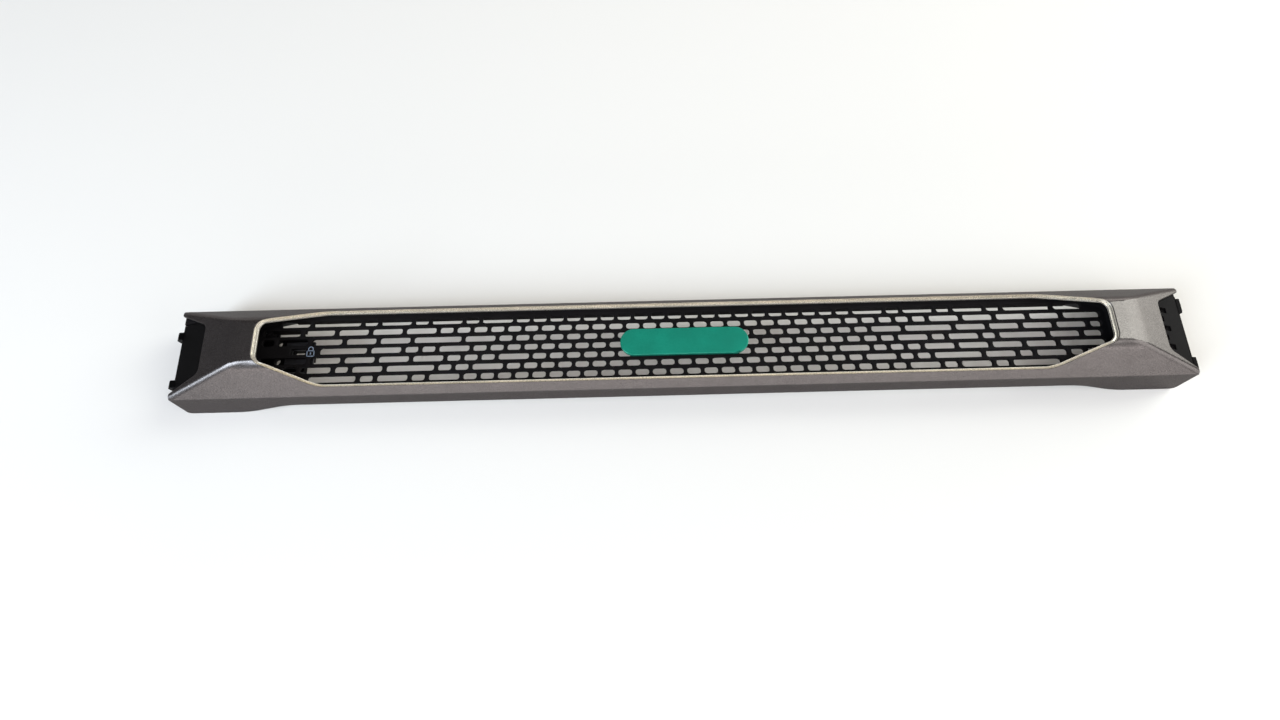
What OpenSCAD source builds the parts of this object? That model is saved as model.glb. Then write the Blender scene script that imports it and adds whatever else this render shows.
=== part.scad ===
// Front bezel for a 1U rack server.
// A hollow painted shell carries a slotted grille behind its long opening. A fixed bracket with two
// hooks closes its right end, and a sprung release latch with two hooks closes its left end.
// The bezel lies on its back: +X runs along it to the right, +Y towards its upper edge and +Z out of
// its face. The origin is below the middle of the shell, on the plane of its rear corners.

/* [Shell] */
// Length over the rear corners
shell_len = 482.6; // [470:0.1:500]
// Height of the shell, one rack unit less its clearance
shell_h = 44; // [43.4:0.1:44.4]
// Depth from the rear corners to the front band
shell_d = 38.5; // [37:0.5:42]
// Thickness of the shell's walls
wall = 2; // [1.6:0.1:2.2]
// Height of the flat band that runs along the front
band_h = 21.6; // [20.6:0.2:22.6]
// Length of the flat band, from break line to break line
band_len = 408; // [404:1:412]
// Fall of the sloping end from the band to its tip
end_fall = 14.6; // [13:0.1:15]
// Lean of each end, from the rear corner to the tip
end_lean = 3.6; // [2:0.1:5]
// Depth of the flat upper and lower sides, up to the bevels
side_d = 22.6; // [22:0.1:23.2]
// Lift of the rear edge between the wings
rear_lift = 10; // [6:0.5:12]
// Length of each wing at the full depth
wing_len = 24; // [20:1:30]
// Length of the curve from a wing to the lifted edge
wing_run = 34; // [24:1:44]

/* [Opening] */
// Length of the opening in the shell
open_len = 387; // [382:1:389]
// Height of the opening
open_h = 34.8; // [34.2:0.1:35.2]
// Height of the opening's straight ends
open_end_h = 17.2; // [12:0.2:18]
// Length of each of the opening's slanted corners
open_slant = 25; // [18:1:32]
// Width of the sunken lip round the opening
lip_w = 1.3; // [0.8:0.1:1.6]
// Depth of the lip below the shell's surface
lip_drop = 1.5; // [1.2:0.1:1.6]
// Thickness of the lip
lip_t = 1; // [0.8:0.1:1.2]

/* [Grille] */
// Distance between neighbouring single slots
slot_pitch = 8; // [7.8:0.05:8.05]
// Distance between rows of slots
row_pitch = 4.63; // [4.5:0.01:4.7]
// Height of a slot
slot_h = 3.2; // [2.4:0.1:3.4]
// Width of the bar between two slots in a row
bar_w = 1.7; // [1.4:0.1:2.2]
// Corner radius of a slot
slot_r = 1.1; // [0.6:0.1:1.2]
// Height of the grille's front face above the rear corners
grille_z = 23.5; // [23:0.1:24]
// Thickness of the grille's plate
grille_t = 2; // [1.6:0.1:2.2]
// Length of the grille's plate
grille_len = 419; // [418:0.5:421]

/* [Badge] */
// Length of the blank badge
badge_len = 60; // [54:1:70]
// Height of the badge
badge_h = 13; // [9:0.5:16]
// Thickness of the badge
badge_t = 2.2; // [1.6:0.1:3]
// Radius of a badge pin
badge_pin_r = 1.2; // [1:0.05:1.3]

/* [Security slot] */
// Width of the cable lock's slot
lock_w = 7; // [6.8:0.1:7.4]
// Height of the cable lock's slot
lock_h = 3; // [2.8:0.1:3.3]
// Distance of the slot from the middle
lock_x = 181; // [180.5:0.5:182]
// Thickness of the steel plate behind the slot
lock_plate_t = 1.2; // [0.8:0.1:1.4]

/* [Latch and hooks] */
// Travel of the release latch
latch_travel = 4; // [3:0.5:4.5]
// How far the hooks stand out of the end walls
hook_out = 3.6; // [2.5:0.1:4]
// Thickness of the brackets' and the latch's walls
rib_t = 1.8; // [1.4:0.1:2]
// Half the height of the latch
latch_hy = 15.4; // [14:0.1:16]
// Height of the latch's arm, in the direction of the bezel's height
arm_h = 17; // [16:0.5:17.5]
// Thickness of the latch's arm
arm_t = 3.4; // [2.8:0.1:3.6]
// Outer radius of the latch's spring
spring_r = 2.3; // [2:0.1:2.6]
// Radius of the spring's wire
wire_r = 0.28; // [0.22:0.02:0.34]
// Turns of the spring
spring_turns = 9; // [7:1:11]

/* [Screws] */
// Radius of a screw's shank
screw_r = 1.1; // [0.9:0.05:1.25]
// Radius of a screw's head
head_r = 2.1; // [1.8:0.1:2.4]
// Thickness of a screw's head
head_t = 1.5; // [1.2:0.1:1.8]
// Outer radius of a screw boss
boss_r = 2.7; // [2.4:0.1:3]

/* [Hidden] */
$fn = 48;
eps = 0.02;
// Running gap between the latch and what guides it
run_gap = 0.3;
// Seating gap between pieces that are fastened together
seat_gap = 0.15;
// Radial gap between a screw and its hole
screw_gap = 0.05;
// Steps in a rounded corner
arc_steps = 6;

// Shell
tip_x = shell_len / 2 - end_lean;
flank_k = end_fall / (tip_x - band_len / 2);
flank_g = sqrt(1 + flank_k * flank_k);
bevel_k = (shell_d - side_d) / ((shell_h - band_h) / 2);
bevel_g = sqrt(1 + bevel_k * bevel_k);
band_r = 3;
break_r = 26;
side_r = 1.2;
tip_r = 1;
corner_r = 2.5;
past = 6;
// Notches at the ends, over the latch and the right bracket
notch_x = tip_x - 16;
notch_strip = 4.4;
tip_strip = 1.8;
notch_r = 3.5;
// Grille
edge_gap = 0.3;
grille_back = grille_z - grille_t;
grille_hy = bevel_y(grille_z, lip_drop + lip_t) - edge_gap;
skirt_t = 1.2;
skirt_end_x = grille_len / 2 - 8.5;
skirt_end_hy = open_end_h / 2 + 2.8;
skirt_slant_x = skirt_end_x - 16;
skirt_hy = open_h / 2 + 0.2;
back_rib_t = 1.3;
back_rib_h = 3.6;
ledge_bite = 0.6;
back_rib_y = grille_hy - ledge_bite - edge_gap;
// Ledges on the shell that hold the grille's long edges
ledge_len = 9;
ledge_h = 1.6;
ledge_out = shell_h / 2 - wall - grille_hy + ledge_bite;
ledge_xs = [-150, -90, -30, 30, 90, 150];
// Rails beside the latch's arm
rail_t = 1.3;
rail_y = arm_h / 2 + 3.2;
// Each row of slots, from the top: where it starts, how many single slots follow, and the lengths
// of the slots after them, all in pitches from the middle outwards
right_rows = [[0, 10, [2, 1, 2, 1, 2, 1, 3, 1.9]],
              [0.5, 14, [2, 2, 2, 2, 2.4]],
              [0, 11, [2, 3, 2, 2, 2, 2, 0.9]],
              [0.5, 12, [2, 1, 2, 1, 3, 2, 1.3]],
              [0, 9, [2, 1, 1, 1, 2, 2, 2, 2, 2.9]],
              [0.5, 10, [2, 1, 1, 3, 2, 1, 2, 1, 0.85]],
              [0, 13, [2, 1, 2, 1, 3]]];
lock_row = 3;
lock_row_left = [0.5, 12, [2, 1, 1, 2, 3]];
// Slots beside the badge's pins are left solid
pin_slot = 3;
badge_pin_x = pin_slot * slot_pitch;
pin_pad_t = 1;
badge_pin_len = grille_t + 2.4;
clip_r = 3;
clip_t = 0.5;

// Screws and bosses
shoulder_w = 1.7;
end_screw_x = skirt_end_x + skirt_t + boss_r + 1.4;
end_screw_y = arm_h / 2 + shoulder_w + run_gap + head_r;
flange_t = 2;
flange_z = grille_back - seat_gap - flange_t;
cover_len = 9;
cover_screw_x = lock_x + 17.5;
cover_screw_y = arm_h / 2 + run_gap + boss_r;

// Latch, with its arm behind the grille and its pad in the left notch
arm_top = flange_z - run_gap;
arm_z = arm_top - arm_t;
arm_end_x = lock_x - lock_w / 2 + 1.5;
tongue_x = lock_x - lock_w / 2 - 2;
tongue_hy = lock_h / 2 + 1.6;
liner = wall + seat_gap + 0.15;
end_wall_x = tip_x;
bracket_in_x = cover_screw_x + cover_len / 2 + run_gap;
bracket_z = grille_z - 11;
web_x = grille_len / 2 + edge_gap + rib_t;
pad_x = web_x + latch_travel + 0.5;
spring_z = arm_top + spring_r + 2;
spring_seat = 11.5;
spring_pin_r = spring_r - 2 * wire_r - 0.25;
spring_pin_len = 3.4;
shoulder_x = web_x - rib_t - run_gap / 2;
shoulder_len = 3.6;
light_x = lock_x + 11.5;
light_ys = [-3, 5.8];
light_r = 1.6;
cover_t = 2;
cover_z = arm_z - run_gap - cover_t;

function unit(v) = v / norm(v);
function mirrored(points) = [for (i = [len(points) - 1:-1:0]) [-points[i].x, points[i].y]];
function four_ways(p, q) = [p, q, [-q.x, q.y], [-p.x, p.y], [-p.x, -p.y], [-q.x, -q.y], [q.x, -q.y], [p.x, -p.y]];

// The points of an arc of radius r that rounds corner b between its neighbours a and c
function arc_corner(a, b, c, r) =
    let (u = unit(a - b), w = unit(c - b), half = acos(u * w) / 2,
         centre = b + unit(u + w) * r / sin(half), from = b + u * r / tan(half) - centre,
         start = atan2(from.y, from.x), turn = sign(cross(b - a, c - b)) * (180 - 2 * half))
    [for (i = [0:arc_steps]) centre + r * [cos(start + turn * i / arc_steps), sin(start + turn * i / arc_steps)]];

// A closed outline with each corner rounded to its own radius
function rounded(points, radii) =
    let (n = len(points))
    [for (i = [0:n - 1]) each radii[i] <= 0 ? [points[i]]
        : arc_corner(points[(i + n - 1) % n], points[i], points[(i + 1) % n], radii[i])];

// A convex outline moved outwards by g
function grown(points, g) =
    let (n = len(points))
    [for (i = [0:n - 1])
        let (b = points[i], u = unit(points[(i + n - 1) % n] - b), w = unit(points[(i + 1) % n] - b))
        b - unit(u + w) * g / sin(acos(u * w) / 2)];

// Height of the sloping end and of the bevel, at a depth below the outer surface
function flank_z(x, depth) = shell_d - (x - band_len / 2) * flank_k - depth * flank_g;
function bevel_z(y, depth) = side_d + (shell_h / 2 - y) * bevel_k - depth * bevel_g;
function bevel_y(z, depth) = shell_h / 2 - (z - side_d + depth * bevel_g) / bevel_k;
// Where the two meet on the outer surface, as a distance from the middle of the height
function ridge_y(x) = band_h / 2 + (x - band_len / 2) * flank_k / bevel_k;

// Half of the lengthwise outline's rear edge: a lifted middle, a smooth curve and a wing
rear_steps = 10;
function rear_edge() =
    let (x0 = shell_len / 2 - wing_len - wing_run)
    [for (i = [0:rear_steps])
        [x0 + wing_run * i / rear_steps, rear_lift * (1 + cos(180 * i / rear_steps)) / 2]];

// Seen along Y: the outline of the shell, and that of what lies a depth below its surface
function long_outline() =
    let (half = concat(rear_edge(),
             arc_corner([0, 0], [shell_len / 2, 0], [tip_x, flank_z(tip_x, 0)], corner_r),
             arc_corner([shell_len / 2, 0], [tip_x, flank_z(tip_x, 0)], [band_len / 2, shell_d], tip_r),
             arc_corner([tip_x, flank_z(tip_x, 0)], [band_len / 2, shell_d], [0, shell_d], break_r)))
    concat(half, mirrored(half));
function long_inner(depth) =
    let (x = shell_len / 2 + past, xb = band_len / 2 - depth * (flank_g - 1) / flank_k,
         half = concat([[x, -past]],
             [[x, flank_z(x, depth)]],
             arc_corner([x, flank_z(x, depth)], [xb, shell_d - depth], [0, shell_d - depth], break_r - depth)))
    concat(half, mirrored(half));

// Seen along X: the outline with its two bevels, at a depth below the outer surface
function cross_outline(depth) =
    let (y = shell_h / 2 - depth, zf = shell_d - depth,
         yb = bevel_y(zf, depth),
         half = concat([[y, -past]],
             arc_corner([y, -past], [y, bevel_z(y, depth)], [yb, zf], max(side_r - depth, 0.3)),
             arc_corner([y, bevel_z(y, depth)], [yb, zf], [0, zf], max(band_r - depth, 0.5))))
    concat(half, mirrored(half));

module along_y(points, h) { rotate([90, 0, 0]) linear_extrude(h, center = true) polygon(points); }
module along_x(points, l) { rotate([90, 0, 90]) linear_extrude(l, center = true) polygon(points); }
module box_at(x0, x1, y0, y1, z0, z1) { translate([x0, y0, z0]) cube([x1 - x0, y1 - y0, z1 - z0]); }

// The solid that lies a depth below the shell's outer surface, open-ended and open at the rear
module inner_form(depth) {
    intersection() {
        along_y(long_inner(depth), shell_h + 2 * past);
        along_x(cross_outline(depth), shell_len + 2 * past);
    }
}

module outer_form() {
    intersection() {
        along_y(long_outline(), shell_h + 2 * past);
        along_x(cross_outline(0), shell_len + 2 * past);
    }
}

// The opening's outline, moved outwards by g
open_corners = four_ways([open_len / 2, open_end_h / 2], [open_len / 2 - open_slant, open_h / 2]);
open_radii = [4.5, 24, 24, 4.5, 4.5, 24, 24, 4.5];
function opening(g) = rounded(grown(open_corners, g), [for (r = open_radii) r + g]);

// The skirt's outline, moved outwards by g
skirt_corners = four_ways([skirt_end_x, skirt_end_hy], [skirt_slant_x, skirt_hy]);
skirt_radii = [3, 12, 12, 3, 3, 12, 12, 3];
function skirt(g) = rounded(grown(skirt_corners, g), [for (r = skirt_radii) r + g]);

module ring(outer, inner, z0, z1) {
    translate([0, 0, z0]) linear_extrude(z1 - z0) difference() { polygon(outer); polygon(inner); }
}

// The cut through a sloping end that shows the latch or the right bracket
module notch() {
    x1 = shell_len / 2 + past;
    y0 = ridge_y(notch_x) - notch_strip;
    y1 = y0 + (ridge_y(tip_x) - tip_strip - y0) * (x1 - notch_x) / (tip_x - notch_x);
    corners = [[notch_x, -y0], [x1, -y1], [x1, y1], [notch_x, y0]];
    translate([0, 0, side_d - past])
        linear_extrude(shell_d) polygon(rounded(corners, [notch_r, 0, 0, notch_r]));
}

module both_ends() { for (m = [0, 1]) mirror([m, 0, 0]) children(); }
module both_edges() { for (m = [0, 1]) mirror([0, m, 0]) children(); }

module end_bosses(r, z0) {
    for (x = [-end_screw_x, end_screw_x], y = [-end_screw_y, end_screw_y])
        translate([x, y, z0]) cylinder(r = r, h = shell_d - z0);
}

module front_shell() {
    color([0.42, 0.40, 0.40]) {
        difference() {
            union() {
                difference() { outer_form(); inner_form(wall); }
                // Sunken lip round the opening
                intersection() {
                    difference() { inner_form(lip_drop); inner_form(lip_drop + lip_t); }
                    ring(opening(lip_w + wall), opening(-1), side_d - past, shell_d + past);
                }
                // Bosses for the end screws
                intersection() { inner_form(wall / 2); end_bosses(boss_r, grille_z); }
            }
            translate([0, 0, side_d - past]) linear_extrude(shell_d) polygon(opening(0));
            difference() {
                translate([0, 0, side_d - past]) linear_extrude(shell_d) polygon(opening(lip_w));
                inner_form(lip_drop);
            }
            both_ends() notch();
            for (x = [-end_screw_x, end_screw_x], y = [-end_screw_y, end_screw_y])
                translate([x, y, grille_z - 1]) cylinder(r = screw_r + screw_gap, h = 8);
        }
        // Ledges under the grille's long edges
        both_edges() for (x = ledge_xs) translate([x - ledge_len / 2, shell_h / 2 - wall, grille_back - ledge_h])
            rotate([90, 0, 90]) linear_extrude(ledge_len)
                polygon([[eps, -ledge_out], [-ledge_out, ledge_h - 0.6], [-ledge_out, ledge_h - seat_gap], [eps, ledge_h - seat_gap]]);
    }
}

// The corners of one slot, from x0 to x1 on the line y
slot_steps = 2;
function slot_loop(x0, x1, y, h, r) =
    [for (q = [0:3], i = [0:slot_steps])
        let (a = q * 90 + i * 90 / slot_steps, sx = (q == 0 || q == 3) ? 1 : -1, sy = q < 2 ? 1 : -1,
             cx = sx > 0 ? x1 - r : x0 + r)
        [cx + r * cos(a), y + sy * (h / 2 - r) + r * sin(a)]];

function sum_to(list, n) = n <= 0 ? 0 : list[n - 1] + sum_to(list, n - 1);
// A row's slots on one side, as pairs of distances from the middle
function run_slots(row) =
    let (lengths = concat([for (i = [0:1:row[1] - 1]) 1], row[2]))
    [for (i = [0:len(lengths) - 1])
        let (s = row[0] + sum_to(lengths, i))
        [s * slot_pitch + bar_w / 2, (s + lengths[i]) * slot_pitch - bar_w / 2]];
function row_y(i) = (lock_row - i) * row_pitch;
function has_pin(i, s) = i == lock_row && abs((s[0] + s[1]) / 2 - badge_pin_x) < bar_w;

slot_loops = [for (i = [0:len(right_rows) - 1])
    each concat(
        right_rows[i][0] > 0 ? [slot_loop(-slot_pitch / 2 + bar_w / 2, slot_pitch / 2 - bar_w / 2, row_y(i), slot_h, slot_r)] : [],
        [for (s = run_slots(right_rows[i])) if (!has_pin(i, s)) slot_loop(s[0], s[1], row_y(i), slot_h, slot_r)],
        [for (s = run_slots(i == lock_row ? lock_row_left : right_rows[i])) if (!has_pin(i, s))
            slot_loop(-s[1], -s[0], row_y(i), slot_h, slot_r)],
        i == lock_row ? [slot_loop(-lock_x - lock_w / 2, -lock_x + lock_w / 2, row_y(i), lock_h, 0.5)] : [])];

module slotted_plate() {
    translate([0, 0, grille_back]) linear_extrude(grille_t) difference() {
        square([grille_len, 2 * grille_hy], center = true);
        for (loop = slot_loops) polygon(loop);
        for (x = [-badge_pin_x, badge_pin_x]) translate([x, 0]) circle(r = badge_pin_r + screw_gap);
        for (x = [-end_screw_x, end_screw_x], y = [-end_screw_y, end_screw_y])
            translate([x, y]) circle(r = screw_r + screw_gap);
    }
}

// A tube between two heights
module tube(outer, inner, z0, z1) {
    translate([0, 0, z0]) linear_extrude(z1 - z0) difference() { circle(r = outer); circle(r = inner); }
}

module grille() {
    color([0.06, 0.06, 0.065]) {
        slotted_plate();
        // Skirt that closes the gap up to the shell, round the opening
        intersection() {
            ring(skirt(skirt_t), skirt(0), grille_z, shell_d);
            inner_form(lip_drop + lip_t + seat_gap);
        }
        // Ribs along the rear of the long edges
        both_edges() box_at(-skirt_slant_x, skirt_slant_x, back_rib_y - back_rib_t, back_rib_y,
                            grille_back - back_rib_h, grille_back);
        both_edges() box_at(-cover_screw_x + screw_r + 1, -lock_x, rail_y, rail_y + rail_t, arm_z, grille_back);
        // Bosses for the latch cover
        for (y = [-cover_screw_y, cover_screw_y]) translate([-cover_screw_x, y])
            tube(boss_r, screw_r + screw_gap, cover_z + cover_t + seat_gap, grille_back);
        // Pads that carry the badge's pins
        for (x = [-badge_pin_x, badge_pin_x]) translate([x, 0])
            tube(slot_pitch / 2 - bar_w / 2, badge_pin_r + screw_gap, grille_back - pin_pad_t, grille_back);
    }
}

module badge() {
    color([0.05, 0.50, 0.40]) {
        translate([0, 0, grille_z]) linear_extrude(badge_t) {
            square([badge_len - badge_h, badge_h], center = true);
            for (x = [-1, 1]) translate([x * (badge_len - badge_h) / 2, 0]) circle(r = badge_h / 2);
        }
        for (x = [-badge_pin_x, badge_pin_x]) translate([x, 0, grille_z - badge_pin_len])
            cylinder(r = badge_pin_r, h = badge_pin_len + eps);
    }
}

module badge_clips() {
    color([0.7, 0.7, 0.72]) for (x = [-badge_pin_x, badge_pin_x])
        translate([x, 0, grille_back - pin_pad_t - clip_t]) difference() {
            cylinder(r = clip_r, h = clip_t);
            translate([0, 0, -eps]) cylinder(r = badge_pin_r + screw_gap, h = clip_t + 2 * eps);
        }
}

// What the two end brackets share: a liner inside the shell's end, its inner web and its flange
module bracket_liner() {
    intersection() {
        difference() { inner_form(liner); inner_form(liner + rib_t); }
        box_at(web_x - rib_t, end_wall_x, -shell_h, shell_h, bracket_z, shell_d);
    }
    intersection() {
        inner_form(liner);
        box_at(web_x - rib_t, web_x, -shell_h, shell_h, bracket_z, shell_d);
    }
    difference() {
        box_at(bracket_in_x, web_x, -grille_hy + 1, grille_hy - 1, flange_z, flange_z + flange_t);
        for (y = [-end_screw_y, end_screw_y]) translate([end_screw_x, y, flange_z - 1])
            cylinder(r = screw_r + screw_gap, h = flange_t + 2);
    }
}

module right_bracket() {
    color([0.05, 0.05, 0.055]) difference() {
        union() {
            difference() {
                bracket_liner();
                end_boss_room();
            }
            intersection() {
                inner_form(liner);
                box_at(end_wall_x - rib_t, end_wall_x, -shell_h, shell_h, bracket_z, shell_d);
            }
            hook(end_wall_x, 10.4, 17);
            hook(end_wall_x, -18.4, -12.8);
        }
        // Pockets in the sloping face, long and short by turns
        for (i = [0:4]) let (y = 9.2 - i * 4.6, x1 = notch_x + (i % 2 == 0 ? 7 : 4))
            box_at(notch_x - 4, x1, y - 1.3, y + 1.3, flank_z(x1, liner) - 0.9, shell_d);
    }
}

// Room round a shell boss, where it stands through a bracket
module end_boss_room() {
    for (y = [-end_screw_y, end_screw_y]) translate([end_screw_x, y, flange_z + flange_t])
        cylinder(r = boss_r + run_gap, h = shell_d);
}

// A hook on an end wall, with its lead-in slope
module hook(x, y0, y1) {
    translate([x - eps, y1, bracket_z]) rotate([90, 0, 0]) linear_extrude(y1 - y0)
        polygon([[0, 3.2], [hook_out - 0.4, 3.6], [hook_out, 4], [hook_out, 6.6], [hook_out - 1.6, 8.8], [0, 8.8]]);
}

module left_bracket() {
    color([0.05, 0.05, 0.055]) mirror([1, 0, 0]) difference() {
        bracket_liner();
        end_boss_room();
        // Window that the latch fills
        box_at(web_x, shell_len, -latch_hy - run_gap, latch_hy + run_gap, 0, shell_d);
        // Passage for the latch's arm
        box_at(web_x - rib_t - 1, web_x + 1, -arm_h / 2 - run_gap, arm_h / 2 + run_gap,
               arm_z - run_gap, arm_top + run_gap);
    }
    color([0.05, 0.05, 0.055]) translate([-web_x, 0, spring_z]) rotate([0, -90, 0])
        translate([0, 0, -eps]) cylinder(r = spring_pin_r, h = spring_pin_len);
}

module release_latch() {
    seat_x = web_x + spring_seat;
    color([0.05, 0.05, 0.055]) mirror([1, 0, 0]) {
        // Pad that the thumb pushes, and the wall that carries the hooks
        intersection() {
            difference() { inner_form(liner + 0.3); inner_form(liner + 0.3 + rib_t); }
            box_at(pad_x, end_wall_x, -latch_hy, latch_hy, arm_z, shell_d);
        }
        intersection() {
            inner_form(liner + 0.3);
            union() {
                box_at(end_wall_x - rib_t, end_wall_x, -latch_hy, latch_hy, arm_z, shell_d);
                box_at(seat_x, seat_x + rib_t, -arm_h / 2, arm_h / 2, arm_z, shell_d);
            }
        }
        difference() {
            union() {
                box_at(arm_end_x, end_wall_x - eps, -arm_h / 2, arm_h / 2, arm_z, arm_top);
                box_at(tongue_x, arm_end_x + eps, -tongue_hy, tongue_hy, arm_z, arm_top);
                box_at(shoulder_x - shoulder_len, shoulder_x, -arm_h / 2 - shoulder_w, arm_h / 2 + shoulder_w,
                       arm_z, arm_top);
            }
            // Holes that lighten the arm
            for (y = light_ys) translate([light_x, y, arm_z - 1]) cylinder(r = light_r, h = arm_t + 2);
            // Slot that the cable lock's head turns in
            box_at(lock_x - lock_w / 2 - 0.5, lock_x + lock_w / 2 + 0.5, -lock_h / 2 - 0.4, lock_h / 2 + 0.4, 0, shell_d);
        }
        translate([seat_x, 0, spring_z]) rotate([0, -90, 0])
            translate([0, 0, -eps]) cylinder(r = spring_pin_r, h = spring_pin_len);
        hook(end_wall_x, -latch_hy, -latch_hy + 3.6);
        hook(end_wall_x, 8.4, 12);
    }
}

// A coil swept along X by one polyhedron, with flat closed ends
spring_sides = 6;
spring_ring_steps = 14;
module latch_spring() {
    length = spring_seat - 2 * wire_r - 0.1;
    rings = spring_turns * spring_ring_steps;
    mean_r = spring_r - wire_r;
    pts = [for (i = [0:rings], j = [0:spring_sides - 1])
        let (a = 360 * i / spring_ring_steps, b = 360 * j / spring_sides, r = mean_r + wire_r * cos(b))
        [length * i / rings + wire_r * sin(b), r * cos(a), r * sin(a)]];
    sides = [for (i = [0:rings - 1], j = [0:spring_sides - 1])
        let (k = (j + 1) % spring_sides, p = i * spring_sides)
        [p + j, p + k, p + spring_sides + k, p + spring_sides + j]];
    first = [for (j = [spring_sides - 1:-1:0]) j];
    last = [for (j = [0:spring_sides - 1]) rings * spring_sides + j];
    color([0.75, 0.75, 0.77]) translate([-web_x - spring_seat + wire_r + 0.05, 0, spring_z])
        polyhedron(pts, concat([first], sides, [last]), convexity = 10);
}

module latch_cover() {
    color([0.05, 0.05, 0.055]) difference() {
        translate([-cover_screw_x, 0, cover_z]) linear_extrude(cover_t)
            polygon(rounded(grown(four_ways([cover_len / 2 - 2, cover_screw_y + boss_r - 2],
                                            [cover_len / 2 - 3, cover_screw_y + boss_r - 1]), 1), [1, 1, 1, 1, 1, 1, 1, 1]));
        for (y = [-cover_screw_y, cover_screw_y]) translate([-cover_screw_x, y, cover_z - 1])
            cylinder(r = screw_r + screw_gap, h = cover_t + 2);
    }
}

module lock_plate() {
    hx = lock_w / 2 + 3.2;
    hy = row_pitch + 0.9;
    color([0.35, 0.35, 0.37]) translate([-lock_x, row_y(lock_row), grille_back - lock_plate_t - seat_gap])
        linear_extrude(lock_plate_t) difference() {
            square([2 * hx, 2 * hy], center = true);
            square([lock_w, lock_h], center = true);
        }
}

// A pan-head screw that points along +Z, with its head's seat at the origin
module screw(length) {
    difference() {
        union() {
            translate([0, 0, -head_t]) cylinder(r = head_r, h = head_t);
            cylinder(r = screw_r, h = length);
        }
        for (a = [0, 90]) rotate([0, 0, a]) translate([0, 0, -head_t])
            cube([head_r * 1.1, 0.5, head_t], center = true);
    }
}

module end_screws() {
    color([0.2, 0.2, 0.21]) for (x = [-end_screw_x, end_screw_x], y = [-end_screw_y, end_screw_y])
        translate([x, y, flange_z]) screw(flange_t + grille_t + 6);
}

module cover_screws() {
    color([0.2, 0.2, 0.21]) for (y = [-cover_screw_y, cover_screw_y])
        translate([-cover_screw_x, y, cover_z]) screw(grille_back - cover_z - 0.6);
}

front_shell();
grille();
badge();
badge_clips();
left_bracket();
right_bracket();
release_latch();
latch_spring();
latch_cover();
lock_plate();
end_screws();
cover_screws();
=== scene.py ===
"""Dresses the frame of a 1U server bezel: painted shell, black slotted grille, badge, brackets,
release latch with its spring, small hardware and a printed padlock, on a pale floor."""

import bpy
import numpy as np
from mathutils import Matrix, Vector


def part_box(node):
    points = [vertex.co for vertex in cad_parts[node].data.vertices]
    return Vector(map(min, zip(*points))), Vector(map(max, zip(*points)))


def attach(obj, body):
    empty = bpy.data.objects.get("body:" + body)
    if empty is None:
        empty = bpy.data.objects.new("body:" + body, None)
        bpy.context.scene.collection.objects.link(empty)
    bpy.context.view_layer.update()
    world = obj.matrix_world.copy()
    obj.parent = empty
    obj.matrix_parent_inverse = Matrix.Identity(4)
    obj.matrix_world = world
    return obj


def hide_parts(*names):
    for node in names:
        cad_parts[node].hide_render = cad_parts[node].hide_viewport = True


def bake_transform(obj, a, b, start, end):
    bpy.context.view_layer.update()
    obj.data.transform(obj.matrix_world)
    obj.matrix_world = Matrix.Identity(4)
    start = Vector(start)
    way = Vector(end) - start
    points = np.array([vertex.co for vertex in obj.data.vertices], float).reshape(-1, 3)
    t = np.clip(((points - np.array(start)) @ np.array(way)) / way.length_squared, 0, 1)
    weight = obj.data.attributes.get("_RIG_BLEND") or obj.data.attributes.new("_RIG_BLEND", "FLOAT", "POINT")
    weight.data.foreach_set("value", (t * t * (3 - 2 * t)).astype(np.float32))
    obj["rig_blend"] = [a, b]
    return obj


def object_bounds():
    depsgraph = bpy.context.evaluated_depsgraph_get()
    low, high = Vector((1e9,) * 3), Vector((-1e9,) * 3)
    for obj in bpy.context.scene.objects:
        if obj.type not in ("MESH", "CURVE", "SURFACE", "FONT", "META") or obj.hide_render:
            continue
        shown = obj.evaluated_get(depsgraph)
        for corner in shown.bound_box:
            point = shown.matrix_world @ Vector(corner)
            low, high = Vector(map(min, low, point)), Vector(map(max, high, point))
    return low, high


bl_info = {
    "name": "Server Front Bezel",
    "version": (1, 0, 0),
    "blender": (4, 5, 0),
    "location": "View3D > Sidebar > Bezel",
    "description": "Adds the finished pieces of a 1U server front bezel to its frame",
    "category": "Object",
}

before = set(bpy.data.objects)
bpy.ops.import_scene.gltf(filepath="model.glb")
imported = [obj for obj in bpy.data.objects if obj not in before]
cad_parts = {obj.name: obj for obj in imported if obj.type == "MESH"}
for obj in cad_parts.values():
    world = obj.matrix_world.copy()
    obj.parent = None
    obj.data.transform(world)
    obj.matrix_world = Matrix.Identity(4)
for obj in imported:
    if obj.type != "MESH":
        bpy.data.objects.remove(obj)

import math

import bmesh
import bpy
from bpy.props import FloatProperty, FloatVectorProperty, IntProperty, PointerProperty
from mathutils import Matrix, Vector
from mathutils.bvhtree import BVHTree

CAD_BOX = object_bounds()
MM = 0.001
BLACK_NODES = ("left_bracket", "right_bracket", "latch_cover")

# Points nearer than WELD are one, and faces that turn by less than FLAT are one flat face
WELD = 0.002 * MM
FLAT = math.radians(0.4)
# Edges that turn by more than this are rounded
SHARP = math.radians(38)
# Radius of the edges of the screws and of the lock plate
SMALL_EDGE = 0.15 * MM

# The outside of the shell: faces that look up at least this much, this near to its slopes
FACING_UP = 0.1
SKIN_DEPTH = 0.6 * MM
# A slope is looked for within this angle of where it should face
SLOPE_SEARCH = math.radians(9)
# A vertex takes the outside's exact normal when it is this near, and its faces look that way
ON_SKIN = 0.01 * MM
SAME_WAY = 0.7

# The lip and the walls of its step take a lighter paint, a painted highlight: how far below the outside its
# flat face and its walls lie, and how far in
STEEP = 0.3
LIP_FACE = (1.3 * MM, 1.7 * MM)
LIP_WALLS = (0.3 * MM, 2.65 * MM)
LIP_INWARD = 2.5 * MM
# Deeper than this the shell has no paint
PAINT_DEPTH = 1.75 * MM

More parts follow.
